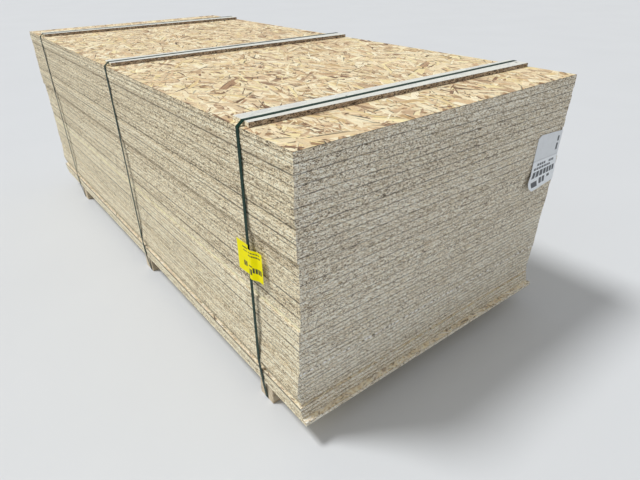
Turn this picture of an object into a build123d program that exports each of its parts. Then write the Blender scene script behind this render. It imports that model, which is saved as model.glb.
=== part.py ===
import os
from math import cos, radians, sin, tan

from build123d import *

# Sheets of oriented strand board, sawn square, lying flat with their length along X.
# They come off the saw in pairs, and each pair lies a hair out of line with the next.
sheet_length = 2800.0
sheet_width = 1250.0
sheet_thickness = 14.6
sheet_gap = 0.2
sheet_arris = 0.5
sheet_play = 0.8

# Groups of sheets that were set down together, from the bottom up. Each has its
# count of sheets, how far its middle lies from the stack's along X and Y, its turn,
# and how far each sheet lies along X and Y from the one below, because groups lean.
sheet_groups = {
    "osb_sheets_1": (1, 0.0, 6.0, 0.0, 0.0, 0.0),
    "osb_sheets_2": (3, -25.0, 4.0, 0.0, -2.0, -1.0),
    "osb_sheets_3": (3, -36.0, 12.0, -0.1, 0.0, -4.0),
    "osb_sheets_4": (7, -29.5, 6.3, -0.22, 0.3, 1.5),
    "osb_sheets_5": (11, -25.2, 10.3, -0.1, 0.25, 0.2),
    "osb_sheets_6": (16, -17.4, 12.4, 0.0, 0.6, -0.2),
    "osb_sheets_7": (8, -12.3, 4.3, 0.02, 0.0, 0.0),
    "osb_sheets_8": (10, -8.3, 3.6, -0.07, 0.4, 0.2),
    "osb_sheets_9": (3, -5.0, 2.5, -0.05, 0.0, 0.0),
}

# Bearers under the stack, each with a groove along its underside for the strap.
bearer_width = 80.0
bearer_height = 90.0
bearer_inset = 15.0
bearer_arris = 2.0
groove_clearance = 3.0
groove_depth = 4.0

# Battens across the top, strips sawn from the same board.
batten_width = 88.0
batten_thickness = 15.0
batten_inset = 12.0
batten_shift = 8.0
batten_arris = 0.8

# Straps, pulled tight round a batten, the sheets and a bearer.
strap_width = 16.0
strap_thickness = 0.9
strap_clearance = 0.3
strap_inset_front = 257.0
strap_inset_far = 292.0
strap_shift_middle = 50.0

# Where each strap lies along X, how far its bearer and its batten lie from it, and
# the batten's turn, because battens are laid by hand.
stations = {
    "front": (sheet_length / 2 - strap_inset_front, 0.0, 0.0, -1.4),
    "middle": (strap_shift_middle, -20.0, 10.0, -1.8),
    "far": (strap_inset_far - sheet_length / 2, 23.0, 12.0, -1.5),
}

# Tag that touches the front strap and bulges out beside it. Its course is measured
# along X from the strap's middle.
tag_height = 105.0
tag_base = 545.0
tag_thickness = 0.5
tag_clearance = 0.3
tag_left = 58.0
tag_right = 77.0
tag_bulge = 12.0
tag_bulge_start = 18.0
tag_bulge_end = 31.0
tag_fold = 53.0
tag_bend = 8.0

# Label on the +X end. It is stuck to one group of sheets and, below that group's
# edge, bends outwards, more at its left than at its right.
label_group = "osb_sheets_7"
label_width = 148.0
label_height = 210.0
label_thickness = 0.5
label_clearance = 0.3
label_drop = 20.0
label_overhang = 2.0
label_flare_right = 12.0
label_flare_left = 30.0
label_bend = 60.0
label_turn = -3.5

sheet_pitch = sheet_thickness + sheet_gap
sheet_count = sum(count for count, *_ in sheet_groups.values())
bearer_length = sheet_width - 2 * bearer_inset
batten_length = sheet_width - 2 * batten_inset
stack_top = bearer_height + sheet_count * sheet_pitch - sheet_gap


def sheets_below(name):
    """How many sheets lie under a group."""
    names = list(sheet_groups)
    return sum(sheet_groups[lower][0] for lower in names[: names.index(name)])


def group_height(name):
    """Height of a group from its lowest face to its upper one."""
    return sheet_groups[name][0] * sheet_pitch - sheet_gap


def group_plane(name):
    """Plane of a group's underside, with X along the sheets' length."""
    _, shift_x, shift_y, turn, *_ = sheet_groups[name]
    base = bearer_height + sheets_below(name) * sheet_pitch
    return Plane((shift_x, shift_y, base)).rotated((0, 0, turn))


def leaning_place(name, step):
    """Where a group's lean puts one of its sheets, counted from the lowest."""
    count, _, _, _, lean_x, lean_y = sheet_groups[name]
    from_middle = step - (count - 1) / 2
    return from_middle * lean_x, from_middle * lean_y, step * sheet_pitch


def sheet_places(name):
    """Where the sheets of a group lie in its plane."""
    places = []
    for step in range(sheet_groups[name][0]):
        from_top = sheet_count - 1 - sheets_below(name) - step
        pair = (from_top + 1) // 2
        along, across, base = leaning_place(name, step)
        along += sheet_play * sin(2.4 * pair)
        across += sheet_play * cos(1.9 * pair)
        places.append((along, across, base))
    return places


def slice_centre(along, shift_x, shift_y, turn):
    """Place along Y of the middle of a turned rectangle where X has one value."""
    return shift_y + (along - shift_x) * tan(radians(turn))


def spans_tag(face):
    """Whether a face runs past the tag both below and above."""
    box = face.bounding_box()
    return box.min.Z < tag_base and box.max.Z > tag_base + tag_height


os.makedirs("parts", exist_ok=True)

# One sheet, with its arrises eased all round.
with BuildPart() as sheet:
    Box(
        sheet_length,
        sheet_width,
        sheet_thickness,
        align=(Align.CENTER, Align.CENTER, Align.MIN),
    )
    chamfer(sheet.edges().filter_by(Axis.Z, reverse=True), sheet_arris)

# Groups of sheets, each sheet a solid that doesn't touch the next.
for name in sheet_groups:
    with BuildPart() as sheets:
        with Locations(group_plane(name)):
            with Locations(sheet_places(name)):
                add(sheet.part)
    sheets.part.label = name
    export_step(sheets.part, f"parts/{name}.step")

for place, (strap_x, bearer_shift, batten_offset, batten_turn) in stations.items():
    # Bearer, with its arrises eased and then grooved under the strap.
    with BuildPart() as bearer:
        with BuildSketch(Plane.XZ):
            with Locations((strap_x + bearer_shift, bearer_height / 2)):
                Rectangle(bearer_width, bearer_height)
        extrude(amount=bearer_length / 2, both=True)
        chamfer(bearer.edges(), bearer_arris)
        with BuildSketch(Plane.XZ):
            with Locations((strap_x, 0)):
                Rectangle(strap_width + 2 * groove_clearance, 2 * groove_depth)
        extrude(amount=bearer_length / 2, both=True, mode=Mode.SUBTRACT)
    bearer.part.label = f"bearer_{place}"
    export_step(bearer.part, f"parts/bearer_{place}.step")

    # Batten, face to face with the top sheet.
    batten_x = strap_x + batten_offset
    seat = Plane((batten_x, batten_shift, stack_top)).rotated((0, 0, batten_turn))
    with BuildPart(seat) as batten:
        Box(
            batten_width,
            batten_length,
            batten_thickness,
            align=(Align.CENTER, Align.CENTER, Align.MIN),
        )
        chamfer(batten.edges(), batten_arris)
    batten.part.label = f"batten_{place}"
    export_step(batten.part, f"parts/batten_{place}.step")

    # What the strap goes round: the hull of the stack's slice in the strap's plane.
    with BuildSketch(Plane.YZ.offset(strap_x)) as bundle:
        with Locations((0, (groove_depth + bearer_height) / 2)):
            Rectangle(bearer_length, bearer_height - groove_depth)
        for name, (count, _, _, turn, *_) in sheet_groups.items():
            reach = sheet_width / cos(radians(turn)) + 2 * sheet_play
            for step in (0, count - 1):
                spot = group_plane(name).from_local_coords(leaning_place(name, step))
                centre = slice_centre(strap_x, spot.X, spot.Y, turn)
                with Locations((centre, spot.Z + sheet_thickness / 2)):
                    Rectangle(reach, sheet_thickness)
        centre = slice_centre(strap_x, batten_x, batten_shift, batten_turn)
        with Locations((centre, stack_top + batten_thickness / 2)):
            Rectangle(batten_length / cos(radians(batten_turn)), batten_thickness)
        make_hull()

    # Strap, a taut band that bridges the groups that lie further in.
    with BuildPart() as strap:
        with BuildSketch(Plane.YZ.offset(strap_x)):
            outer = strap_clearance + strap_thickness
            offset(bundle.sketch_local, amount=outer, kind=Kind.INTERSECTION)
            offset(
                bundle.sketch_local,
                amount=strap_clearance,
                kind=Kind.INTERSECTION,
                mode=Mode.SUBTRACT,
            )
        extrude(amount=strap_width / 2, both=True)
    strap.part.label = f"strap_{place}"
    export_step(strap.part, f"parts/strap_{place}.step")

    # Tag, a stiff sheet that stands on edge against the front strap.
    if place == "front":
        strap_face = strap.faces().filter_by(spans_tag).sort_by(Axis.Y)[0]
        facing = Plane(strap_face, x_dir=(1, 0, 0))
        foot = facing.origin + facing.y_dir * (tag_base - facing.origin.Z)
        with BuildPart() as tag:
            with BuildSketch(Plane(foot, x_dir=(1, 0, 0), z_dir=facing.y_dir)):
                with BuildLine() as course:
                    Polyline(
                        (-tag_left, -2 * tag_clearance),
                        (strap_width / 2 - tag_bend, -tag_clearance),
                        (tag_bulge_start, -tag_bulge),
                        (tag_bulge_end, -tag_bulge),
                        (tag_fold, -2 * tag_clearance),
                        (tag_right, -tag_clearance),
                    )
                    bends = course.vertices().sort_by(Axis.X)[1:-1]
                    fillet(bends, tag_bend)
                    offset(amount=tag_thickness, side=Side.RIGHT)
                make_face()
            extrude(amount=tag_height)
        tag.part.label = "tag"
        export_step(tag.part, "parts/tag.step")

# Label, lofted from its right edge to its left. It starts below the group's upper
# face and bends at the group's lower edge.
end = group_plane(label_group)
label_stuck = group_height(label_group) - label_drop
end_x = sheet_length / 2 + sheet_play + label_clearance
hook = end.from_local_coords((end_x, sheet_width / 2 + label_overhang, label_stuck))
right_edge = Plane(hook, x_dir=end.x_dir, z_dir=-end.y_dir).rotated((label_turn, 0, 0))
with BuildPart() as label:
    for across, flare in ((0, label_flare_right), (label_width, label_flare_left)):
        with BuildSketch(right_edge.offset(across)):
            with BuildLine() as hang:
                Polyline(
                    (0, 0),
                    (0, -label_stuck),
                    (flare, -label_height),
                )
                fillet(hang.vertices().group_by(Axis.Y)[1], label_bend)
                offset(amount=label_thickness, side=Side.LEFT)
            make_face()
    loft()
label.part.label = "label"
export_step(label.part, "parts/label.step")
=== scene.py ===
from math import cos, pi, radians, sin

import bpy
import numpy as np
from bpy.props import FloatProperty, FloatVectorProperty, IntProperty, PointerProperty
from mathutils import Matrix, Vector
from mathutils.bvhtree import BVHTree


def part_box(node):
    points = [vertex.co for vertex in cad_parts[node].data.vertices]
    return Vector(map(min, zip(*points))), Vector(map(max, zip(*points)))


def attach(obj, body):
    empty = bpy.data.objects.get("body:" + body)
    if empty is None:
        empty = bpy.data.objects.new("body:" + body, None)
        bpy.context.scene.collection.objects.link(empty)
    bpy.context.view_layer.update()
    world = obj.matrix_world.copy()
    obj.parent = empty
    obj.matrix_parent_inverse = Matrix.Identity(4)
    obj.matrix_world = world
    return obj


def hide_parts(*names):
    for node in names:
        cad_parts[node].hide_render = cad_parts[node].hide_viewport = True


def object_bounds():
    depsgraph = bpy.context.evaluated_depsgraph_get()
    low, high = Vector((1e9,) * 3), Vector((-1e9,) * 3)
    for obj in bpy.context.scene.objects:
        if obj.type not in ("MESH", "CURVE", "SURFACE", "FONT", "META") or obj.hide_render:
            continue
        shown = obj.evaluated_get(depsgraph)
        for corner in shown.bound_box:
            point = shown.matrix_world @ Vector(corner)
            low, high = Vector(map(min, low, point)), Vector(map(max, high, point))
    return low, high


bl_info = {
    "name": "Stack of strand board",
    "version": (1, 0, 0),
    "blender": (4, 5, 0),
    "location": "View3D > Sidebar > Board stack",
    "description": "Dresses a strapped stack of strand board sheets",
    "category": "Object",
}

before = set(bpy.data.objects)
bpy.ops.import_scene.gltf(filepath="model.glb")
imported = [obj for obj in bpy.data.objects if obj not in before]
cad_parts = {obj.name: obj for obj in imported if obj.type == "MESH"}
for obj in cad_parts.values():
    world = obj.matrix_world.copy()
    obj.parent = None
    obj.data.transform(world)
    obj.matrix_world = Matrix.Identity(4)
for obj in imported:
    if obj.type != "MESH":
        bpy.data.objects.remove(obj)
cad_low, cad_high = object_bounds()

MM = 0.001
SEED = 62
SHEETS = [f"osb_sheets_{n}" for n in range(1, 10)]
PLACES = ("front", "middle", "far")

SHEET_THICKNESS = 14.6 * MM
SHEET_GAP = 0.2 * MM
PAPER_THICKNESS = 0.3 * MM

# Slips of wood reach this far into what they lie on.
ROOT_DEPTH = 0.05 * MM

# How far a normal lies along an axis where a face counts as facing that way.
FACING = 0.6

# Colours of strands as they lie in a face, from the darkest to the palest.
FACE_TONES = [
    (0.0, (0.08, 0.045, 0.025)),
    (0.1, (0.26, 0.15, 0.085)),
    (0.25, (0.54, 0.37, 0.22)),
    (0.42, (0.7, 0.53, 0.33)),
    (0.6, (0.81, 0.66, 0.41)),
    (0.8, (0.9, 0.79, 0.54)),
    (1.0, (0.98, 0.91, 0.68)),
]

# Colours of strands where the saw cut them, from the voids to the palest.
EDGE_TONES = [
    (0.0, (0.08, 0.055, 0.03)),
    (0.2, (0.33, 0.26, 0.16)),
    (0.45, (0.71, 0.58, 0.375)),
    (0.75, (0.95, 0.83, 0.575)),
    (1.0, (1.0, 0.95, 0.74)),
]

# Heights below are in sheets, counted from the underside of the lowest.
# Joints that stand open on the long sides, where painted shade of the gaps and recesses lies, and
# how dark each is.
JOINT_SHADOWS = {
    10: 0.35,
    15: 0.5,
    20: 0.95,
    24: 0.25,
    28: 1.0,
    32: 0.85,
    35: 0.3,
    38: 0.3,
    41: 0.75,
    45: 0.95,
    48: 0.65,
    49: 0.35,
    53: 0.55,
    58: 0.55,
    61: 0.7,
}

# Chipped arris on the front end, and pale strands along the near side.
CHIPPED_JOINT = 13.2
PALE_BAND = 25.6

# Pale edges near the floor, and the wide painted shade lines at the recessed joints over them.
PALE_FOOT = 2.6
FOOT_SHADOWS = (3.75, 5.0)

# Groups that overhang the one below, with a painted shadow band under them.
OVERHANGS = ("osb_sheets_7", "osb_sheets_9")

# Tints that other colours are multiplied by.
# Painted shadow under the overhangs.
OVERHANG_SHADOW = (0.72, 0.68, 0.64)
# The ends' greyer cut, with painted cool skylight on them.
GREYER_AND_SKYLIT = (0.95, 0.99, 1.14)
PINKISH = (0.96, 0.86, 0.78)
GOLDEN = (0.99, 0.94, 0.7)
BROWNED = (0.55, 0.5, 0.54)

PALE_STRANDS = (1.0, 0.93, 0.58)
CHIPPED_EDGE = (1.0, 0.96, 0.82)
KNOT = (0.2, 0.11, 0.055)
# Painted shade on the sides of the bearers.
SIDE_SHADE = (0.2, 0.16, 0.12)
SCUFFED_STRAP = (0.01, 0.08, 0.065)
TAG_RIM = (0.98, 0.93, 0.05)
# Painted shade along the label's fold.
FOLD_SHADE = (0.45, 0.47, 0.5)

# Shares of the strands that lie any way, and that are thin and dark.
CROSSED_STRANDS = 0.3
THIN_STRANDS = 0.22

# Shapes of the beta spreads that tints are drawn from.
TOP_TINTS = (2.5, 1.5)
BATTEN_TINTS = (4.0, 2.5)
LONG_LEDGE_TINTS = (1.8, 1.2)
END_LEDGE_TINTS = (2.4, 0.9)

# Slivers: outline in shares of half their length and height, least and greatest height
# in millimetres, and how near a sheet's faces they come.
SLIVER_OUTLINE = [(-1, 0), (-0.55, -0.8), (0.5, -1), (1, 0.1), (0.45, 0.9), (-0.6, 1)]
SLIVER_HEIGHTS = (0.35, 1.3)
SLIVER_MARGIN = 0.6 * MM

# Ledges are cut into strips. A strip stays clear of the sheet above, and a shallow
# one holds no crumbs.
LEDGE_STEP = 200 * MM
LEDGE_CLEARANCE = 0.6 * MM
LEAST_LEDGE = 2 * MM
CRUMB_SIZE = (22 * MM, 4 * MM)
CRUMB_LIFT = 0.5 * MM
CRUMB_SPREAD = radians(20)

# How far from the middle the ledges of the long sides and of the ends begin.
LONG_LEDGES = 0.59
END_LEDGES = 1.36

# Printed rules: left, right, lower and upper edge as shares of the sheet, and bars.
TAG_RULES = [
    (0.2, 0.38, 0.83, 0.87, 0),
    (0.22, 0.36, 0.73, 0.76, 0),
    (0.44, 0.9, 0.88, 0.92, 7),
    (0.46, 0.92, 0.77, 0.82, 9),
    (0.2, 0.34, 0.23, 0.4, 2),
    (0.48, 0.68, 0.43, 0.47, 0),
    (0.41, 0.67, 0.16, 0.35, 3),
    (0.67, 0.95, 0.25, 0.42, 4),
]
LABEL_RULES = [
    (0.82, 0.9, 0.8, 0.9, 0),
    (0.82, 0.9, 0.63, 0.76, 0),
    (0.16, 0.47, 0.43, 0.475, 4),
    (0.6, 0.84, 0.43, 0.475, 3),
    (0.06, 0.7, 0.365, 0.405, 7),
    (0.04, 0.92, 0.23, 0.335, 7),
    (0.08, 0.27, 0.06, 0.16, 0),
    (0.31, 0.52, 0.08, 0.19, 2),
    (0.62, 0.74, 0.14, 0.19, 0),
]

# Share of each bar's place that stays blank, and height of the label's fold.
BAR_GAP = 0.23
LABEL_FOLD = 0.53

# Camera: place, heading and pitch of its view, roll, and focal length for 640 pixels.
CAMERA_SPOT = (2.298, -1.241, 1.402)
CAMERA_YAW = radians(142.55)
CAMERA_PITCH = radians(29.83)
CAMERA_ROLL = radians(-0.98)
FOCAL_PIXELS = 501.6
IMAGE_WIDTH = 640
SENSOR_WIDTH = 36
VIEW_DEPTH = 200

# The key: where it shines from, and how wide it looks.
KEY_DIRECTION = (-0.307, -0.369, 0.878)
KEY_SPREAD = radians(14)


def colour(name, description, default):
    """Property for a colour."""
    return FloatVectorProperty(
        name=name, description=description, subtype="COLOR", size=3, min=0, max=1, default=default
    )


def length(name, description, default):
    """Property for a length in metres."""
    return FloatProperty(
        name=name, description=description, unit="LENGTH", default=default, min=0, precision=4
    )


class BoardSettings(bpy.types.PropertyGroup):
    """Strand board sheets and battens."""

    pitch: length("Sheet pitch", "Height that each sheet takes up in the stack", 14.8 * MM)
    strand_count: IntProperty(
        name="Strands", description="Strands in the top face", default=14400, min=1
    )
    strand_length: length("Strand length", "Middle length of a strand", 78 * MM)
    strand_width: length("Strand width", "Middle width of a strand", 15 * MM)
    strand_lift: length("Strand lift", "Height of the highest strand over the face", 0.6 * MM)
    strand_spread: FloatProperty(
        name="Strand spread",
        description="How far strands turn from the sheet's length",
        subtype="ANGLE",
        default=radians(32),
    )
    sliver_density: IntProperty(
        name="Slivers", description="Slivers on a metre of each sawn edge", default=36, min=0
    )
    sliver_lift: length("Sliver lift", "How far the proudest sliver stands out", 0.6 * MM)
    # The board under the face strands, darkened with painted shade of the gaps between them.
    under_and_gap_shade: colour("Under strands", "Board seen between face strands", (0.36, 0.22, 0.11))
    ledge_colour: colour("Ledges", "Tint of the faces that stand out below", (0.95, 0.95, 1.0))
    crumb_density: IntProperty(
        name="Crumbs", description="Broken strands on a square metre of ledge", default=9000, min=0
    )
    # Weathered grey of the batten tops, with a painted bluish sky reflection.
    batten_grey_and_glare: colour("Batten top", "Weathered face of the battens", (0.74, 0.79, 0.78))
    batten_strands: IntProperty(
        name="Batten strands", description="Strands in the top of each batten", default=900, min=1
    )
    batten_lift: length("Batten lift", "Height of the highest strand on a batten", 0.25 * MM)


class TimberSettings(bpy.types.PropertyGroup):
    """Bearers."""

    early_colour: colour("Early wood", "Pale part of the growth rings", (0.72, 0.62, 0.45))
    late_colour: colour("Late wood", "Dark part of the growth rings", (0.5, 0.38, 0.24))
    ring_width: length("Ring width", "Distance between growth rings", 5 * MM)


class StrapSettings(bpy.types.PropertyGroup):
    """Straps."""

    colour: colour("Strap", "Plastic of the straps", (0.0, 0.03, 0.017))
    emboss: length("Emboss", "Size of one pressed diamond", 2.4 * MM)


class PaperSettings(bpy.types.PropertyGroup):
    """Tag and label."""

    tag_colour: colour("Tag", "Plastic of the tag", (0.96, 0.86, 0.0))
    label_colour: colour("Label", "Paper of the label", (0.92, 0.96, 1.0))
    ink_colour: colour("Ink", "Printed rules", (0.03, 0.04, 0.05))


class StageSettings(bpy.types.PropertyGroup):
    """Floor, lamps and camera."""

    floor_colour: colour("Floor", "Floor and backdrop", (0.66, 0.68, 0.7))
    floor_size: length("Floor size", "Side of the floor", 60)
    key_strength: FloatProperty(
        name="Key", description="Strength of the soft overhead key", default=2.25
    )
    sky_strength: FloatProperty(name="Sky", description="Strength of the even light", default=0.46)


class Signal:
    """A socket of a material, so that sums on it read as sums."""

    def __init__(self, finish, socket):
        self.finish = finish
        self.socket = socket

    def maths(self, operation, *others):
        return self.finish.node(
            "ShaderNodeMath", {"operation": operation}, dict(enumerate((self, *others)))
        )

    def __add__(self, other):
        return self.maths("ADD", other)

    __radd__ = __add__

    def __mul__(self, other):
        return self.maths("MULTIPLY", other)

    __rmul__ = __mul__

    def __sub__(self, other):
        return self.maths("SUBTRACT", other)

    def __rsub__(self, other):
        return self * -1 + other

    def __truediv__(self, other):
        return self.maths("DIVIDE", other)

    def __gt__(self, other):
        return self.maths("GREATER_THAN", other)

    def __abs__(self):
        return self.maths("ABSOLUTE")

    def floor(self):
        return self.maths("FLOOR")

    def fraction(self):
        return self.maths("FRACT")

    def sine(self):
        return self.maths("SINE")

    def smaller(self, other):
        return self.maths("MINIMUM", other)

    def larger(self, other):
        return self.maths("MAXIMUM", other)

    def rise(self, start, end):
        """0 up to start and 1 from end, with a smooth rise between."""
        return self.finish.node(
            "ShaderNodeMapRange",
            {"interpolation_type": "SMOOTHSTEP"},
            {"Value": self, "From Min": start, "From Max": end},
        )

    def near(self, value, full, none):
        """1 up to a distance from a value and 0 from another, with a smooth fall between."""
        return 1 - abs(self - value).rise(full, none)

    def between(self, low, high):
        """1 between two values and 0 outside them."""
        return (self > low) * (1 - (self > high))


class Finish:
    """One material, while its nodes are joined up."""

    def __init__(self, name, **constants):
        self.material = bpy.data.materials.new(name)
        self.material.use_nodes = True
        self.tree = self.material.node_tree
        self.shader = self.tree.nodes["Principled BSDF"]
        for socket, value in constants.items():
            self.feed(self.shader.inputs[socket.replace("_", " ")], value)

    def feed(self, socket, value):
        """Gives a socket a value or a link."""
        if isinstance(value, Signal):
            self.tree.links.new(value.socket, socket)
        elif socket.type == "RGBA":
            socket.default_value = (*value, 1)
        else:
            socket.default_value = value

    def node(self, kind, settings=None, inputs=None, output=0):
        """Adds a node with its settings, then its inputs, and gives one of its outputs."""
        made = self.tree.nodes.new(kind)
        for name, value in (settings or {}).items():
            if name == "stops":
                elements = made.color_ramp.elements
                while len(elements) < len(value):
                    elements.new(1.0)
                for element, (place, tone) in zip(elements, value):
                    element.position = place
                    element.color = (*tone, 1)
            else:
                setattr(made, name, value)
        for key, value in (inputs or {}).items():
            self.feed(made.inputs[key], value)
        return Signal(self, made.outputs[output])

    def axes(self, kind):
        """X, Y and Z of Object, the place in the row frame, or of Normal."""
        vector = self.node("ShaderNodeTexCoord", output=kind)
        return [
            self.node("ShaderNodeSeparateXYZ", inputs={0: vector}, output=axis) for axis in "XYZ"
        ]

    def map_axes(self, name):
        """The two coordinates of a piece's own map."""
        vector = self.node("ShaderNodeUVMap", {"uv_map": name})
        return [
            self.node("ShaderNodeSeparateXYZ", inputs={0: vector}, output=axis) for axis in "XY"
        ]

    def own(self, name):
        """A number kept on a piece's faces."""
        return self.node("ShaderNodeAttribute", {"attribute_name": name}, output="Fac")

    def point(self, x, y, z=0.0):
        return self.node("ShaderNodeCombineXYZ", inputs={0: x, 1: y, 2: z})

    def noise(self, spot, detail=2.0, roughness=0.5):
        """Noise whose grain is one unit of its coordinates."""
        return self.node(
            "ShaderNodeTexNoise",
            inputs={"Vector": spot, "Scale": 1.0, "Detail": detail, "Roughness": roughness},
        )

    def cells(self, spot, output="Color"):
        """A chance colour for each cell, or the distance to its middle."""
        return self.node(
            "ShaderNodeTexVoronoi", inputs={"Vector": spot, "Scale": 1.0}, output=output
        )

    def flakes(self, spot):
        """A chance number for each cell."""
        return self.node("ShaderNodeSeparateXYZ", inputs={0: self.cells(spot)})

    def chance(self, value):
        """A steady chance number for each whole value."""
        return self.node("ShaderNodeTexWhiteNoise", {"noise_dimensions": "1D"}, {"W": value})

    def tone(self, value, stops):
        return self.node("ShaderNodeValToRGB", {"stops": stops}, {0: value})

    def mix(self, amount, first, second, blend="MIX"):
        """Mixes two colours."""
        return self.node(
            "ShaderNodeMix",
            {"data_type": "RGBA", "blend_type": blend},
            {0: amount, 6: first, 7: second},
            output=2,
        )

    def tinted(self, tone, tint):
        """Multiplies a colour by another."""
        return self.mix(1.0, tone, tint, "MULTIPLY")

    def shade(self, tone, amount):
        """Darkens or lightens a colour by a number."""
        return self.tinted(tone, self.point(amount, amount, amount))

    def show(self, tone, roughness=None, height=None, depth=1 * MM):
        """Joins the results to the shader and gives the material."""
        self.feed(self.shader.inputs["Base Color"], tone)
        if roughness is not None:
            self.feed(self.shader.inputs["Roughness"], roughness)
        if height is not None:
            bump = self.node("ShaderNodeBump", inputs={"Height": height, "Distance": depth})
            self.feed(self.shader.inputs["Normal"], bump)
        return self.material


def sawn_edge(finish, along, level, seed, coarse=1.0):
    """Tone from 0 to 1 and relief of a sawn edge, along the edge and up the board."""

    def spot(long, tall, shift):
        return finish.point(along / (long * MM * coarse), level / (tall * MM), seed * 37 + shift)

    def grain(long, tall, shift, detail=1.0):
        return finish.noise(spot(long, tall, shift), detail)

    ends = finish.flakes(spot(6.5, 3, 0))
    flakes = finish.flakes(spot(16, 5, 4))
    fibres = grain(7, 1.2, 11, 2.0)
    lumps = grain(45, 3.6, 23, 2.0)
    # Voids are painted dark, as shade inside the pits, and glints are painted highlights.
    voids = grain(5, 2.6, 5).rise(0.57, 0.63)
    glints = grain(6.5, 2.8, 31).rise(0.57, 0.64)
    tone = 0.63 + (ends - 0.5) * 0.75 + (flakes - 0.5) * 0.35
    tone = tone + (fibres - 0.5) * 0.7 + (lumps - 0.5) * 0.5 + glints * 0.3 - voids * 0.75
    return tone, fibres * 0.4 + ends * 0.35 - voids


def pressed_face(finish, x, y, seed):
    """Tone from 0 to 1 of strands pressed into a face."""
    bend = finish.noise(finish.point(x / (160 * MM), y / (90 * MM), seed)) * 0.5
    tones = []
    for turn in (14, -19, 4):
        c, s = cos(radians(turn)), sin(radians(turn))
        u, v = x * c + y * s, y * c - x * s
        spot = finish.point(u / (85 * MM) + bend, v / (11 * MM) + bend * 3, seed + turn)
        tones.append(finish.flakes(spot))
    patch = finish.noise(finish.point(x / (60 * MM), y / (22 * MM), seed + 7), 1.0)
    pick = patch > 0.5
    grain = finish.noise(finish.point(x / (30 * MM), y / (1.6 * MM), seed + 3), 3.0)
    tone = tones[0] * pick + tones[1] * (1 - pick)
    return tone * 0.6 + tones[2] * 0.3 + (grain - 0.5) * 0.4


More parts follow.
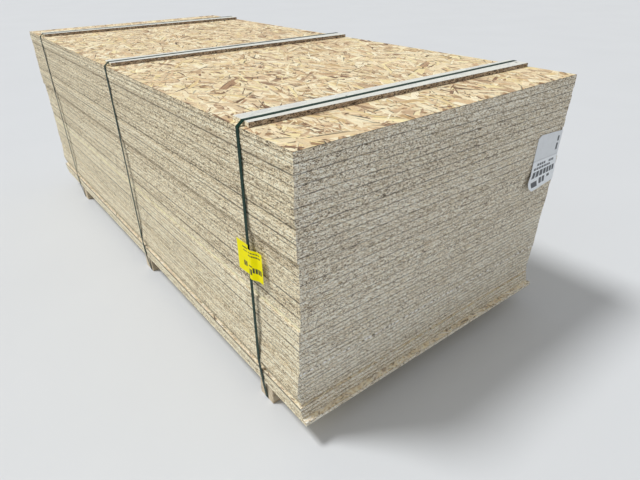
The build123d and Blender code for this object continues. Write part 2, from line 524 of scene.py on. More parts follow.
def board_finish(board):
    """Strand board: pressed strands on its faces and sawn layers at its edges."""
    finish = Finish("strand_board")
    x, y, z = finish.axes("Object")
    nx, ny, nz = finish.axes("Normal")
    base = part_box(SHEETS[0])[0].z

    def line(height, full, none):
        """1 beside a height in sheets, and 0 away from it."""
        return z.near(base + height * board.pitch, full * MM, none * MM)

    # Layers of strands as the saw cut them, each sheet with its own.
    sheet = ((z - base) / board.pitch).floor()
    level = z - base - sheet * board.pitch
    seed = finish.chance(sheet + 0.5)
    across = abs(nx) > FACING
    along = x * (1 - across) + y * across
    tone, relief = sawn_edge(finish, along, level, seed, 1 - across * 0.25)

    # Sheets and patches that are paler or darker than the rest.
    weather = finish.noise(finish.point(along / 0.7, z / 0.16, 3.0), 3.0)
    own_tone = finish.chance(sheet + 7.5)
    streaks = finish.noise(finish.point(along / 0.4, z / (6 * MM), 5.0), 1.0)
    lower = 1 - z.rise(0.3, 0.6)
    tone = tone + (own_tone - 0.5) * (0.12 + 0.14 * (1 - across)) + (weather - 0.5) * 0.3
    # Towards the floor the edges are painted paler, as painted light lifting the shade there.
    tone = tone + (1 - across) * (streaks - 0.5) * (0.5 + lower * 0.6) + lower * 0.1
    tone = tone + line(PALE_FOOT, 6, 12) * (1 - across) * 0.2
    edge = finish.tone(tone, EDGE_TONES)

    # Dark joints at every second sheet, and painted shade where sheets stand open.
    nearest = ((z - base) / board.pitch + 0.5).floor()
    within = (nearest / 2).fraction() * 2
    joint = 1 - level.smaller(board.pitch - level).rise(0.3 * MM, 2.8 * MM)
    patchy = finish.noise(finish.point(along / 0.05, nearest * 3.1, 9.0), 2.0).rise(0.4, 0.62)
    dark = (0.36 + across * 0.04 + patchy * 0.34) * (1 - within * (0.8 - lower * 0.5))
    edge = finish.shade(edge, 1 - joint * dark)
    gape = finish.noise(finish.point(along / 0.35, nearest * 1.7, 2.0), 2.0).rise(0.35, 0.6)
    # Painted shade in the open joints and recesses of the long sides.
    joint_shadow = None
    for number, share in JOINT_SHADOWS.items():
        found = share * line(number, 0.8, 3.8)
        joint_shadow = found if joint_shadow is None else joint_shadow.larger(found)
    edge = finish.shade(edge, 1 - joint_shadow * (0.55 + gape * 0.35) * (1 - across))
    # Wide painted shade lines at the recessed joints near the floor.
    for number in FOOT_SHADOWS:
        found = line(number, 3, 6)
        edge = finish.shade(edge, 1 - found * (0.55 + gape * 0.15) * (1 - across))

    # Painted shadow bands under overhangs, pale strands and the chipped arris.
    for name in OVERHANGS:
        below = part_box(name)[0].z - z
        band = (below > 0) * (1 - below.rise(8 * MM, 46 * MM)) * (1 - across * 0.8)
        edge = finish.mix(band * (0.5 + weather * 0.5), edge, finish.tinted(edge, OVERHANG_SHADOW))
    pale = finish.noise(finish.point(along / (28 * MM), z / (5 * MM), 8.0), 1.0)
    band = line(PALE_BAND, 3, 9) * (ny * -1 > FACING)
    edge = finish.mix(band * pale.rise(0.4, 0.56) * 0.8, edge, PALE_STRANDS)
    chips = finish.noise(finish.point(along / (16 * MM), 0.0, 4.0), 1.0)
    ragged = line(CHIPPED_JOINT, 2, 4.5) * (nx > FACING)
    edge = finish.mix(ragged * chips.rise(0.48, 0.54), edge, CHIPPED_EDGE)
    edge = finish.shade(edge, 1 - ragged * (1 - chips).rise(0.54, 0.59) * 0.75)
    # The ends are cooler: partly their greyer cut, partly painted cool skylight where they lie in
    # shade.
    edge = finish.mix(across, edge, finish.tinted(edge, GREYER_AND_SKYLIT))

    # Faces, with crumbled strands on the ledges.
    face_tone = pressed_face(finish, x, y, seed)
    face = finish.tone(face_tone, FACE_TONES)
    flat = abs(nz).rise(0.8, 0.9)
    top_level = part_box(SHEETS[-1])[1].z
    on_top = (z > top_level - 1 * MM) * (nz > 0.5)
    crumbs = finish.noise(finish.point(x / (11 * MM), y / (9 * MM), z / (30 * MM)), 2.0)
    ledge = finish.tone(0.76 + (crumbs - 0.5) * 2.4 + (face_tone - 0.5) * 0.3, EDGE_TONES)
    ledge = finish.mix(0.6, ledge, board.ledge_colour, "MULTIPLY")
    long_side = (abs(y) > LONG_LEDGES) * (1 - (abs(x) > END_LEDGES))
    ledge = finish.shade(ledge, 1 - long_side * 0.1)
    face = finish.mix(0.85, face, ledge)
    # On top, the board between strands gets its darkened colour, painted shade of the gaps.
    face = finish.mix(on_top, face, board.under_and_gap_shade)
    return finish.show(
        finish.mix(flat, edge, face), 0.72 + relief * 0.1, relief * (1 - flat), 0.5 * MM
    )


def strand_finish(name, tones, contrast, wash=None, hues=0.8):
    """Single strands, with grain along them, a painted shadow line on one edge where they lift and
    a painted highlight on the other.
    """
    finish = Finish(name)
    u, v = finish.map_axes("grain")
    tint = finish.own("tint")
    grain = finish.noise(finish.point(u * 1.3, v * 5, tint * 90), 3.0, 0.6)
    fleck = finish.noise(finish.point(u * 6, v * 14, tint * 70), 1.0)
    streak = finish.noise(finish.point(u * 2.2, v * 2.6, tint * 50 + 4), 2.0).rise(0.6, 0.7)
    tone = finish.tone(tint + (grain - 0.5) * contrast - streak * 0.2, tones)
    hue = finish.chance(tint * 613)
    pinkish = finish.tinted(tone, PINKISH)
    golden = finish.tinted(tone, GOLDEN)
    tone = finish.mix(hue.rise(0.7, 0.92) * hues, tone, pinkish)
    tone = finish.mix((1 - hue).rise(0.72, 0.95) * hues, tone, golden)
    # Painted shadow along one edge where the strand lifts, and a painted highlight along the
    # other.
    lift_shadow = finish.chance(tint * 271).rise(0.2, 0.7)
    line = 1 - v.rise(0.6, 0.9) * lift_shadow * 0.88
    lit_edge = 1 + (v * -1).rise(0.55, 0.9) * 0.12
    tone = finish.shade(tone, line * lit_edge * (1 - fleck.rise(0.6, 0.7) * 0.4))
    if wash:
        tone = finish.mix(0.78, tone, finish.shade(wash, 0.8 + grain * 0.4))
    return finish.show(tone, 0.5 + grain * 0.3, grain + fleck * 0.4, 0.4 * MM)


def batten_finish(board):
    """Battens sawn from the same board, grey with weather, with a painted bluish sky reflection on
    their tops.
    """
    finish = Finish("weathered_and_glare_batten")
    x, y, z = finish.axes("Object")
    nx, ny, nz = finish.axes("Normal")
    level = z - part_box("batten_front")[0].z
    end = abs(ny) > FACING
    along = y * (1 - end) + x * end
    tone, relief = sawn_edge(finish, along, level, 0.37, 1.2)
    edge = finish.tone(tone - 0.08 + end * 0.2, EDGE_TONES)
    edge = finish.mix(1 - end, edge, finish.tinted(edge, BROWNED))
    face = finish.tone(pressed_face(finish, y, x, 5.0), FACE_TONES)
    # The tops are weathered grey, with a painted bluish sky reflection.
    face = finish.mix(0.8, face, board.batten_grey_and_glare)
    flat = abs(nz).rise(0.8, 0.9)
    return finish.show(finish.mix(flat, edge, face), 0.7, relief * (1 - flat), 0.8 * MM)


def timber_finish(timber):
    """Sawn softwood: growth rings at the ends, grain and saw marks along."""
    finish = Finish("sawn_softwood")
    x, y, z = finish.axes("Object")
    nx, ny, nz = finish.axes("Normal")
    sway = finish.noise(finish.point(x / 0.09, y / 0.9, z / 0.09), 2.0)
    beam = finish.chance((x / 0.5).floor())
    pith_x = x + beam * 0.6
    pith_z = z + 30 * MM
    radius = finish.node(
        "ShaderNodeVectorMath",
        {"operation": "LENGTH"},
        {0: finish.point(pith_x * 0.2, 0.0, pith_z)},
        "Value",
    )
    rings = (((radius + sway * 14 * MM) / timber.ring_width) * 2 * pi).sine() * 0.5 + 0.5
    fibres = finish.noise(finish.point(x / (1.2 * MM), y / (60 * MM), z / (1.2 * MM)), 3.0)
    saw = finish.noise(finish.point(x / (20 * MM), y / (1.8 * MM), z / (20 * MM)), 1.0)
    knots = finish.cells(finish.point(x / 0.09, y / 0.23 + beam * 9, z / 0.09), "Distance")
    knot = 1 - knots.rise(0.1, 0.17)
    wood = finish.mix(rings.rise(0.45, 0.95) * 0.7, timber.early_colour, timber.late_colour)
    wood = finish.shade(wood, 0.72 + fibres * 0.5)
    wood = finish.mix(knot * 0.8, wood, KNOT)
    # The sides, which lie in shade under the stack, are painted darker in patches than the ends:
    # painted shade.
    end = abs(ny) > FACING
    shade_patches = finish.noise(finish.point(x / 0.12, y / 0.2, z / 0.05), 3.0).rise(0.4, 0.8)
    wood = finish.mix((1 - end) * (0.25 + shade_patches * 0.35), wood, SIDE_SHADE)
    relief = fibres * 0.5 + saw * (1 - end) * 0.6 - rings * 0.2
    return finish.show(wood, 0.7 + fibres * 0.2, relief, 0.7 * MM)


def strap_finish(strap):
    """Glossy plastic strap with pressed diamonds and scuffed edges."""
    finish = Finish("green_strap", Specular_IOR_Level=0.08)
    x, y, z = finish.axes("Object")
    run = (y + z) / strap.emboss
    side = x / strap.emboss
    diamonds = ((run + side) * pi).sine() * ((run - side) * pi).sine()
    scuff = finish.noise(finish.point(x / (1.2 * MM), y / (26 * MM), z / (26 * MM)), 3.0)
    worn = scuff.rise(0.56, 0.8)
    tone = finish.mix(worn * 0.3, strap.colour, SCUFFED_STRAP)
    # The pressed diamonds also darken the colour a little, as painted shade of the emboss.
    tone = finish.shade(tone, 0.85 + diamonds * 0.2)
    return finish.show(tone, 0.34 + worn * 0.25, diamonds * 0.6 + scuff * 0.3, 0.25 * MM)


def print_mask(u, v, rules):
    """1 inside any of the printed rules."""
    mask = None
    for left, right, low, high, bars in rules:
        inside = u.between(left, right) * v.between(low, high)
        if bars:
            inside = inside * (((u - left) * (bars / (right - left))).fraction() > BAR_GAP)
        mask = inside if mask is None else mask.larger(inside)
    return mask


def tag_finish(paper):
    """Bright film with plain printed rules that say nothing."""
    finish = Finish("yellow_film", Specular_IOR_Level=0.06)
    u, v = finish.map_axes("print")
    crease = finish.noise(finish.point(u * 5, v * 4), 2.0)
    border = (1 - abs(u * 2 - 1)).smaller(1 - abs(v * 2 - 1))
    # The film is painted darker and lighter with its creases, as painted shade.
    tone = finish.shade(paper.tag_colour, 0.9 + crease * 0.2)
    tone = finish.mix((1 - border.rise(0.01, 0.07)) * 0.4, tone, TAG_RIM)
    tone = finish.mix(print_mask(u, v, TAG_RULES) * 0.95, tone, paper.ink_colour)
    return finish.show(tone, 0.4 + crease * 0.15, crease, 1.2 * MM)


def label_finish(paper):
    """White paper with plain printed rules that say nothing."""
    finish = Finish("white_paper")
    u, v = finish.map_axes("print")
    crumple = finish.noise(finish.point(u * 7, v * 9), 3.0)
    fibre = finish.noise(finish.point(u * 160, v * 220), 1.0)
    crease = v.near(LABEL_FOLD, 0.0, 0.02)
    # The paper is painted darker and lighter with its crumples, as painted shade.
    tone = finish.shade(paper.label_colour, 0.9 + crumple * 0.13 + fibre * 0.06)
    # Above the fold the paper is painted darker, as painted shade where it stands upright.
    tone = finish.shade(tone, 1 - v.rise(0.5, 0.56) * 0.13)
    # Painted grey shade along the fold.
    tone = finish.mix(crease * 0.35, tone, FOLD_SHADE)
    tone = finish.mix(print_mask(u, v, LABEL_RULES) * 0.9, tone, paper.ink_colour)
    return finish.show(tone, 0.6, crumple + crease * 0.5, 2.5 * MM)


class Slips:
    """Thin flat slips of wood that are gathered into one mesh."""

    def __init__(self):
        self.points, self.faces, self.map, self.tints = [], [], [], []

    def add(self, root, tip, grain, tint):
        """A prism between two like outlines, with its grain map and its tint."""
        start = len(self.points)
        count = len(tip)
        self.points.extend(root)
        self.points.extend(tip)
        low = list(range(start, start + count))
        high = list(range(start + count, start + 2 * count))
        sides = [
            (low[i], low[(i + 1) % count], high[(i + 1) % count], high[i]) for i in range(count)
        ]
        faces = [high, low[::-1], *sides]
        self.faces.extend(faces)
        self.tints.extend([tint] * len(faces))
        for face in faces:
            self.map.extend(grain[(index - start) % count] for index in face)

    def mesh(self, name, finish, slot):
        """Makes the piece and sets it on the stack."""
        mesh = bpy.data.meshes.new(name)
        mesh.from_pydata(self.points, [], self.faces)
        layer = mesh.uv_layers.new(name="grain")
        layer.data.foreach_set("uv", np.array(self.map, np.float32).ravel())
        tint = mesh.attributes.new("tint", "FLOAT", "FACE")
        tint.data.foreach_set("value", np.array(self.tints, np.float32))
        mesh.materials.append(finish)
        return set_piece(mesh, slot)


def coat(node, finish):
    """Gives a node of the frame its only material."""
    node.data.materials.clear()
    node.data.materials.append(finish)


def set_piece(mesh, slot, *nodes):
    """Puts a mesh in the scene as a piece that rides on the stack."""
    piece = bpy.data.objects.new(mesh.name, mesh)
    bpy.context.scene.collection.objects.link(piece)
    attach(piece, "root")
    if nodes:
        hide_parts(*nodes)
    return piece


def trimmed(outline, low, high):
    """An outline cut off where it leaves a rectangle."""
    for axis in (0, 1):
        for sign, limit in ((1, high[axis]), (-1, -low[axis])):
            kept = []
            for here, there in zip(outline, outline[1:] + outline[:1]):
                a, b = sign * here[axis] - limit, sign * there[axis] - limit
                if a <= 0:
                    kept.append(here)
                if (a < 0 < b) or (b < 0 < a):
                    kept.append(here + (there - here) * (a / (a - b)))
            outline = kept
            if len(outline) < 3:
                return []
    return outline


def strand_outline(chance, long, wide):
    """Outline of one strand round its middle, ragged at its ends and a little bowed."""
    steps = np.linspace(-1, 1, 4)
    half = wide / 2 * (1 + chance.normal(0, 0.13, (2, 4)))
    half[:, (0, -1)] *= chance.uniform(0.25, 1, (2, 2))
    slant = chance.uniform(-0.9, 0.9, (2, 2)) * wide
    bow = chance.normal(0, 0.02) * long
    rows = []
    for side, sign in enumerate((1, -1)):
        x = steps * long / 2
        x[0] += slant[0, side]
        x[-1] += slant[1, side]
        rows.append(np.c_[x, sign * half[side] + bow * steps**2])
    return np.concatenate([rows[1], rows[0][::-1]])


def scatter_strands(slips, chance, count, patch, sizes, lift, spread, tones):
    """Lays strands over a rectangle of a face, each a little higher than the last.

    The patch is the rectangle's first corner, the directions of its sides, its size
    and its level. Strands run along its first side. Sizes are their middle length and
    width, and tones shape the beta spread of their tints.
    """
    corner, ahead, aside, size, level = patch
    for number in range(count):
        middle = chance.uniform((0, 0), size)
        long = sizes[0] * np.clip(chance.lognormal(0, 0.4), 0.35, 2.0)
        wide = sizes[1] * np.clip(chance.lognormal(0, 0.5), 0.25, 3.0)
        turn = chance.normal(0, spread)
        if chance.random() < CROSSED_STRANDS:
            turn = chance.uniform(0, pi)
        tint = chance.beta(*tones)
        if chance.random() < THIN_STRANDS:
            tint *= chance.uniform(0.05, 0.5)
            wide *= 0.36
            long *= 0.7
        outline = strand_outline(chance, long, wide)
        c, s = cos(turn), sin(turn)
        placed = outline @ np.array([[c, s], [-s, c]]) + middle
        cut = trimmed(list(placed), (0, 0), size)
        if not cut:
            continue

        # The grain map is the strand's own, from -1 to 1 along it and across it.
        back = (np.array(cut) - middle) @ np.array([[c, -s], [s, c]])
        grain = [(2 * u / long, 2 * v / wide) for u, v in back]

        # Later strands lie higher, and each tilts a little.
        rise = lift * (0.12 + 0.8 * number / count)
        slope = chance.normal(0, 0.06, 2) * lift
        spots = [corner + ahead * u + aside * v for u, v in cut]
        tip = [
            (*spot, level + max(rise + slope[0] * g[0] + slope[1] * g[1], 0.02 * MM))
            for spot, g in zip(spots, grain)
        ]
        root = [(*spot, level - ROOT_DEPTH) for spot in spots]
        slips.add(root, tip, grain, float(np.clip(tint, 0.01, 0.99)))


def face_patch(corners, level, margin):
    """The patch of a face that lies inside its corners, with its long side first."""
    first, second, third = (np.array(corners[index]) for index in (3, 0, 1))
    sides = [second - first, third - second]
    reach = [np.linalg.norm(side) for side in sides]
    if reach[1] > reach[0]:
        first, sides, reach = second, [sides[1], -sides[0]], reach[::-1]
    ahead, aside = sides[0] / reach[0], sides[1] / reach[1]
    corner = first + (ahead + aside) * margin
    return corner, ahead, aside, np.array(reach) - 2 * margin, level


def sheet_corners(node):
    """The corners of each sheet of a node as seen from above, and its lowest level."""
    pitch = bpy.context.scene.board_stack.board.pitch
    points = np.array([vertex.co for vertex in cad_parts[node].data.vertices])
    base = points[:, 2].min()
    sheet = np.floor((points[:, 2] - base) / pitch + 0.01)
    found = []
    for number in np.unique(sheet):
        own = points[sheet == number]
        corners = [
            own[np.argmax(own[:, 0] * sx + own[:, 1] * sy)][:2]
            for sx, sy in ((1, -1), (1, 1), (-1, 1), (-1, -1))
        ]
        found.append((corners, own[:, 2].min()))
    return found


def ledge_strips():
    """Patches of the ledges where a sheet stands out under the next, each with its side."""
    sheets = [found for name in SHEETS for found in sheet_corners(name)]
    for (lower, _), (upper, level) in zip(sheets, sheets[1:]):
        for side in range(4):
            start, end = np.array(lower[side]), np.array(lower[(side + 1) % 4])
            above, beyond = np.array(upper[side]), np.array(upper[(side + 1) % 4])
            run = (beyond - above) / np.linalg.norm(beyond - above)
            inwards = np.array((-run[1], run[0]))
            steps = int(np.linalg.norm(end - start) / LEDGE_STEP)
            for step in range(steps):
                here = start + (end - start) * (step / steps)
                there = start + (end - start) * ((step + 1) / steps)
                depth = min((above - spot) @ inwards for spot in (here, there)) - LEDGE_CLEARANCE
                if depth < LEAST_LEDGE:
                    continue
                reach = np.linalg.norm(there - here)
                ahead = (there - here) / reach
                aside = np.array((-ahead[1], ahead[0]))
                corner = here + aside * 0.5 * MM
                yield side, (corner, ahead, aside, np.array((reach, depth)), level - SHEET_GAP)


def scatter_slivers(slips, chance, start, end, level, density, lift, limit):
    """Small slivers that stand out of one sawn edge of a sheet."""
    run = end - start
    reach = np.linalg.norm(run)
    along = run / reach
    out = np.array([along[1], -along[0]])
    for _ in range(chance.poisson(density * reach)):
        long = chance.gamma(2.2, 7 * MM) + 4 * MM
        tall = chance.uniform(*SLIVER_HEIGHTS) * MM
        middle = chance.uniform(long / 2, reach - long / 2)
        rise = chance.uniform(0.9 * MM, SHEET_THICKNESS - 0.9 * MM)
        proud = lift * chance.beta(1.3, 3.2) + 0.06 * MM
        lean = chance.normal(0, 0.012)
        outline = [(u + chance.normal(0, 0.12), v) for u, v in SLIVER_OUTLINE]
        root, tip = [], []
        for u, v in outline:
            place = start + along * np.clip(middle + u * long / 2, 0, reach)
            above = rise + v * tall / 2 + u * long * lean
            z = level + np.clip(above, SLIVER_MARGIN, SHEET_THICKNESS - SLIVER_MARGIN)
            lifted = place + out * proud * (1 - 0.5 * abs(u))
            root.append((*(place - out * ROOT_DEPTH), z))
            tip.append((*np.clip(lifted, *limit), z))
        tint = float(np.clip(chance.normal(0.62, 0.24), 0.02, 0.99))
        slips.add(root, tip, outline, tint)


class BOARD_OT_sheets(bpy.types.Operator):
    """Gives the sheets their pressed faces and sawn edges"""

    bl_idname = "board_stack.sheets"
    bl_label = "Dress sheets"

    def execute(self, context):
        finish = board_finish(context.scene.board_stack.board)
        for name in SHEETS:
            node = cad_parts[name]
            coat(node, finish)
        return {"FINISHED"}


class BOARD_OT_face_strands(bpy.types.Operator):
    """Lays the strands of the top face"""

    bl_idname = "board_stack.face_strands"
    bl_label = "Lay face strands"

    def execute(self, context):
        board = context.scene.board_stack.board
        finish = strand_finish("face_strand", FACE_TONES, 0.36)
        corners, _ = sheet_corners(SHEETS[-1])[-1]
        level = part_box(SHEETS[-1])[1].z
        corner, ahead, aside, size, _ = face_patch(corners, level, 0.5 * MM)
        chance = np.random.default_rng(SEED)
        third = size[0] / 3
        for number, name in enumerate(("far", "middle", "front")):
            slips = Slips()
            scatter_strands(
                slips,
                chance,
                board.strand_count // 3,
                (corner + ahead * third * number, ahead, aside, np.array((third, size[1])), level),
                (board.strand_length, board.strand_width),
                board.strand_lift,
                board.strand_spread,
                TOP_TINTS,
            )
            slips.mesh(f"face_strands_{name}", finish, "osb_sheet")
        return {"FINISHED"}


class BOARD_OT_slivers(bpy.types.Operator):
    """Raises the slivers that the saw left on the sheets' edges"""

    bl_idname = "board_stack.slivers"
    bl_label = "Raise slivers"

    def execute(self, context):
        board = context.scene.board_stack.board
        finish = strand_finish("sawn_sliver", EDGE_TONES, 0.5)
        limit = (np.array(cad_low[:2]), np.array(cad_high[:2]))
        for side, name in enumerate(("front", "away", "far", "near")):
            chance = np.random.default_rng(SEED + side)
            slips = Slips()
            for node in SHEETS:
                for corners, level in sheet_corners(node):
                    scatter_slivers(
                        slips,
                        chance,
                        corners[side],
                        corners[(side + 1) % 4],
                        level,
                        board.sliver_density,
                        board.sliver_lift,
                        limit,
                    )
            slips.mesh(f"edge_slivers_{name}", finish, "osb_sheet")
        return {"FINISHED"}


class BOARD_OT_crumbs(bpy.types.Operator):
    """Leaves broken strands on the ledges where one sheet stands out under the next"""

    bl_idname = "board_stack.crumbs"
    bl_label = "Leave crumbs"

    def execute(self, context):
        board = context.scene.board_stack.board

        # Crumbs are a little cooler than the edges that they broke from.
        tones = [(place, (r * 0.97, g, min(b * 1.17, 1))) for place, (r, g, b) in EDGE_TONES]
        finish = strand_finish("ledge_crumb", tones, 0.6, hues=0.25)
        chance = np.random.default_rng(SEED)
        slips = Slips()
        for side, patch in ledge_strips():
            reach, depth = patch[3]
            scatter_strands(
                slips,
                chance,
                int(board.crumb_density * reach * depth) + 2,
                patch,
                CRUMB_SIZE,
                CRUMB_LIFT,
                CRUMB_SPREAD,
                LONG_LEDGE_TINTS if side % 2 else END_LEDGE_TINTS,
            )
        slips.mesh("ledge_crumbs", finish, "osb_sheet")
        return {"FINISHED"}


class BOARD_OT_battens(bpy.types.Operator):
    """Weathers the battens, paints a bluish sky reflection on their tops, and lays the strands of
    their upper faces
    """

    bl_idname = "board_stack.battens"
    bl_label = "Dress battens"

    def execute(self, context):
        board = context.scene.board_stack.board
        finish = batten_finish(board)
        strands = strand_finish("weathered_and_glare_strand", FACE_TONES, 0.4, board.batten_grey_and_glare)
        chance = np.random.default_rng(SEED)
        for place in PLACES:
            name = f"batten_{place}"
            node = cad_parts[name]
            coat(node, finish)
            corners, _ = sheet_corners(name)[0]
            slips = Slips()
            scatter_strands(
                slips,
                chance,
                board.batten_strands,
                face_patch(corners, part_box(name)[1].z, 1 * MM),
                (board.strand_length * 0.6, board.strand_width),
                board.batten_lift,
                board.strand_spread,
                BATTEN_TINTS,
            )
            slips.mesh(f"batten_strands_{place}", strands, "osb_batten")
        return {"FINISHED"}


class BOARD_OT_bearers(bpy.types.Operator):
    """Gives the bearers their sawn softwood"""

    bl_idname = "board_stack.bearers"
    bl_label = "Dress bearers"

    def execute(self, context):
        finish = timber_finish(context.scene.board_stack.timber)
        for place in PLACES:
            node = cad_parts[f"bearer_{place}"]
            coat(node, finish)
        return {"FINISHED"}


class BOARD_OT_straps(bpy.types.Operator):
    """Gives the straps their glossy pressed plastic"""

    bl_idname = "board_stack.straps"
    bl_label = "Dress straps"

    def execute(self, context):
        finish = strap_finish(context.scene.board_stack.strap)
        for place in PLACES:
            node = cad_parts[f"strap_{place}"]
            coat(node, finish)
        return {"FINISHED"}


def outer_skin(name, direction):
    """Finds the first place on a node that lies along a direction from a place before it."""
    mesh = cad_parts[name].data
    tree = BVHTree.FromPolygons(
        [vertex.co for vertex in mesh.vertices], [tuple(face.vertices) for face in mesh.polygons]
    )
    towards = Vector(direction)

    def touch(place):
        return tree.ray_cast(Vector(place) - towards * 0.2, towards)[0]

    return touch


def thin_sheet(name, columns, rows, spot, inwards, finish):
    """A thin closed sheet whose front passes through spot(u, v), with a print map."""
    wide = columns + 1
    prints = [(u, v) for v in np.linspace(0, 1, rows + 1) for u in np.linspace(0, 1, wide)]
    spots = [spot(u, v) for u, v in prints]
    front = [place for place, _ in spots]
    prints = [place for _, place in spots]
    count = len(front)
    faces = []
    for row in range(rows):
        for column in range(columns):
            first = row * wide + column
            corners = (first, first + 1, first + wide + 1, first + wide)
            faces.append(corners)
            faces.append(tuple(count + corner for corner in reversed(corners)))
    rim = [*range(columns), *range(columns, count - 1, wide)]
    rim += [*range(count - 1, rows * wide, -1), *range(rows * wide, 0, -wide)]
    for here, there in zip(rim, rim[1:] + rim[:1]):
        faces.append((there, here, count + here, count + there))
    mesh = bpy.data.meshes.new(name)
    mesh.from_pydata(front + [place + inwards for place in front], [], faces)
    layer = mesh.uv_layers.new(name="print")
    mapped = [prints[corner % count] for face in faces for corner in face]
    layer.data.foreach_set("uv", np.array(mapped, np.float32).ravel())
    mesh.materials.append(finish)
    mesh.shade_smooth()
    mesh.set_sharp_from_angle(angle=radians(50))
    return mesh


class BOARD_OT_tag(bpy.types.Operator):
    """Hangs the tag on the front strap"""

    bl_idname = "board_stack.tag"
    bl_label = "Hang tag"

    def execute(self, context):
        low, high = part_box("tag")
        touch = outer_skin("tag", (0, 1, 0))
        edge = 0.6 * MM

        def spot(u, v):
            # Rays meet the solid a hair inside its rim.
            x = low.x + edge + (high.x - low.x - 2 * edge) * u
            z = low.z + edge + (high.z - low.z - 2 * edge) * v
            place = touch((x, low.y, z))

            # The left end reaches further out and hangs lower than the solid's.
            place.x -= max(0.3 - u, 0) * 26 * MM
            place.z -= (1 - v) * max(0.5 - u, 0) * 12 * MM

            # Ripples in the film, and a corner that curls forward.
            ripple = sin(7 * u + 2 * v) * 0.25 + sin(3 * u - 5 * v) * 0.2
            curl = (1 - u) ** 3 * v**3 * 0.9
            place.y -= (ripple * u * (1 - u) * 2 + curl) * MM
            return place, (u, v)

        finish = tag_finish(context.scene.board_stack.paper)
        mesh = thin_sheet("tag_film", 54, 14, spot, Vector((0, PAPER_THICKNESS, 0)), finish)
        set_piece(mesh, "tag", "tag")
        return {"FINISHED"}


class BOARD_OT_label(bpy.types.Operator):
    """Sticks the label on the front end"""

    bl_idname = "board_stack.label"
    bl_label = "Stick label"

    def execute(self, context):
        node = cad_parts["label"]
        points = [vertex.co for vertex in node.data.vertices]
        corners = [
            max(points, key=lambda point: point.y * side + point.z * up)
            for side, up in ((-1, -1), (1, -1), (-1, 1), (1, 1))
        ]
        low_left, low_right, high_left, high_right = (Vector((0, c.y, c.z)) for c in corners)
        front = max(point.x for point in points)
        stuck = min(point.x for point in points) + 0.5 * MM
        touch = outer_skin("label", (-1, 0, 0))

        # Rays meet the solid a hair inside its rim, as a share of its size.
        hair = 0.003

        def spot(u, v):
            # The upper corner on the left is cut off.
            cut = max(v - 0.95, 0) / 0.05 * 0.09
            u = hair + cut + (1 - 2 * hair - cut) * u
            v = hair + (1 - 2 * hair) * v
            lower = low_left.lerp(low_right, u)
            upper = high_left.lerp(high_right, u)
            place = lower.lerp(upper, v)
            place.x = front
            found = touch(place)

            # Below its fold the paper stands out half as far as the solid, and ripples.
            loose = max(LABEL_FOLD - v, 0)
            ripple = sin(9 * u + 4 * v) * 0.6 + sin(5 * u - 11 * v) * 0.4
            found.x = stuck + (found.x - stuck) * 0.5 + ripple * loose * 1.6 * MM

            # It is wider than the solid, most of all at its lower left.
            wider = max(0.5 - u, 0) / 0.5
            swing = sin(pi * min(v / 0.5, 1)) * 9 + 16
            swing += sin(pi * min(v / 0.3, 1)) * 12 - max(0.07 - v, 0) / 0.07 * 9
            found.y -= wider * swing * MM
            found.y += (1 - v) * u * 4 * MM
            found.z += (8 + (1 - v) * (u * 18 - 6)) * MM
            return found, (u, v)

        finish = label_finish(context.scene.board_stack.paper)
        mesh = thin_sheet("label_paper", 36, 54, spot, Vector((-PAPER_THICKNESS, 0, 0)), finish)
        set_piece(mesh, "label", "label")
        return {"FINISHED"}


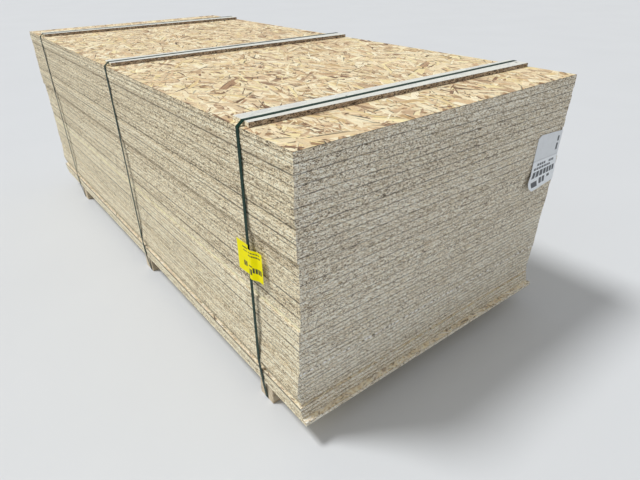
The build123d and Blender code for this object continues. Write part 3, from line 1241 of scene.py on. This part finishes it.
class BOARD_OT_stage(bpy.types.Operator):
    """Sets the floor, the lamps and the camera"""

    bl_idname = "board_stack.stage"
    bl_label = "Set stage"

    def execute(self, context):
        scene = context.scene
        stage = scene.board_stack.stage
        half = stage.floor_size / 2
        mesh = bpy.data.meshes.new("floor")
        mesh.from_pydata(
            [(-half, -half, 0), (half, -half, 0), (half, half, 0), (-half, half, 0)],
            [],
            [(0, 1, 2, 3)],
        )
        finish = Finish("pale_floor", Roughness=0.7)
        mottle = finish.noise(finish.node("ShaderNodeTexCoord", output="Object"), 3.0)
        mesh.materials.append(finish.show(finish.shade(stage.floor_colour, 0.97 + mottle * 0.06)))
        floor = bpy.data.objects.new("floor", mesh)
        scene.collection.objects.link(floor)

        world = bpy.data.worlds.new("studio")
        world.use_nodes = True
        sky = world.node_tree.nodes["Background"]
        sky.inputs["Color"].default_value = (1, 1, 1, 1)
        sky.inputs["Strength"].default_value = stage.sky_strength
        scene.world = world

        lamp = bpy.data.lights.new("key", "SUN")
        lamp.energy = stage.key_strength
        lamp.angle = KEY_SPREAD
        key = bpy.data.objects.new("key", lamp)
        key.rotation_mode = "QUATERNION"
        key.rotation_quaternion = Vector(KEY_DIRECTION).to_track_quat("Z", "Y")
        scene.collection.objects.link(key)

        view = bpy.data.cameras.new("camera")
        view.sensor_width = SENSOR_WIDTH
        view.lens = FOCAL_PIXELS / IMAGE_WIDTH * view.sensor_width
        view.clip_end = VIEW_DEPTH
        camera = bpy.data.objects.new("camera", view)
        ahead = Vector(
            (
                cos(CAMERA_PITCH) * cos(CAMERA_YAW),
                cos(CAMERA_PITCH) * sin(CAMERA_YAW),
                -sin(CAMERA_PITCH),
            )
        )
        level = Vector((sin(CAMERA_YAW), -cos(CAMERA_YAW), 0))
        upright = level.cross(ahead)
        right = cos(CAMERA_ROLL) * level + sin(CAMERA_ROLL) * upright
        up = -sin(CAMERA_ROLL) * level + cos(CAMERA_ROLL) * upright
        turn = Matrix((right, up, -ahead)).transposed().to_4x4()
        camera.matrix_world = Matrix.Translation(CAMERA_SPOT) @ turn
        scene.collection.objects.link(camera)
        scene.camera = camera
        scene.view_settings.view_transform = "Standard"
        return {"FINISHED"}


class BOARD_PT_stack(bpy.types.Panel):
    """Lists the stack's settings and the buttons of its steps"""

    bl_idname = "BOARD_PT_stack"
    bl_label = "Board stack"
    bl_space_type = "VIEW_3D"
    bl_region_type = "UI"
    bl_category = "Board stack"

    def draw(self, context):
        groups = context.scene.board_stack
        for group in ("board", "timber", "strap", "paper", "stage"):
            box = self.layout.box()
            held = getattr(groups, group)
            for name in held.__annotations__:
                box.prop(held, name)
        for operator in OPERATORS:
            self.layout.operator(operator.bl_idname)


class StackSettings(bpy.types.PropertyGroup):
    """All settings of the stack."""

    board: PointerProperty(type=BoardSettings)
    timber: PointerProperty(type=TimberSettings)
    strap: PointerProperty(type=StrapSettings)
    paper: PointerProperty(type=PaperSettings)
    stage: PointerProperty(type=StageSettings)


OPERATORS = (
    BOARD_OT_sheets,
    BOARD_OT_face_strands,
    BOARD_OT_slivers,
    BOARD_OT_crumbs,
    BOARD_OT_battens,
    BOARD_OT_bearers,
    BOARD_OT_straps,
    BOARD_OT_tag,
    BOARD_OT_label,
    BOARD_OT_stage,
)
CLASSES = (
    BoardSettings,
    TimberSettings,
    StrapSettings,
    PaperSettings,
    StageSettings,
    StackSettings,
    *OPERATORS,
    BOARD_PT_stack,
)


def register():
    for made in CLASSES:
        bpy.utils.register_class(made)
    bpy.types.Scene.board_stack = PointerProperty(type=StackSettings)


def unregister():
    del bpy.types.Scene.board_stack
    for made in reversed(CLASSES):
        bpy.utils.unregister_class(made)


def main():
    register()
    bpy.ops.board_stack.sheets()
    bpy.ops.board_stack.face_strands()
    bpy.ops.board_stack.slivers()
    bpy.ops.board_stack.crumbs()
    bpy.ops.board_stack.battens()
    bpy.ops.board_stack.bearers()
    bpy.ops.board_stack.straps()
    bpy.ops.board_stack.tag()
    bpy.ops.board_stack.label()
    bpy.ops.board_stack.stage()


if __name__ == "__main__":
    main()
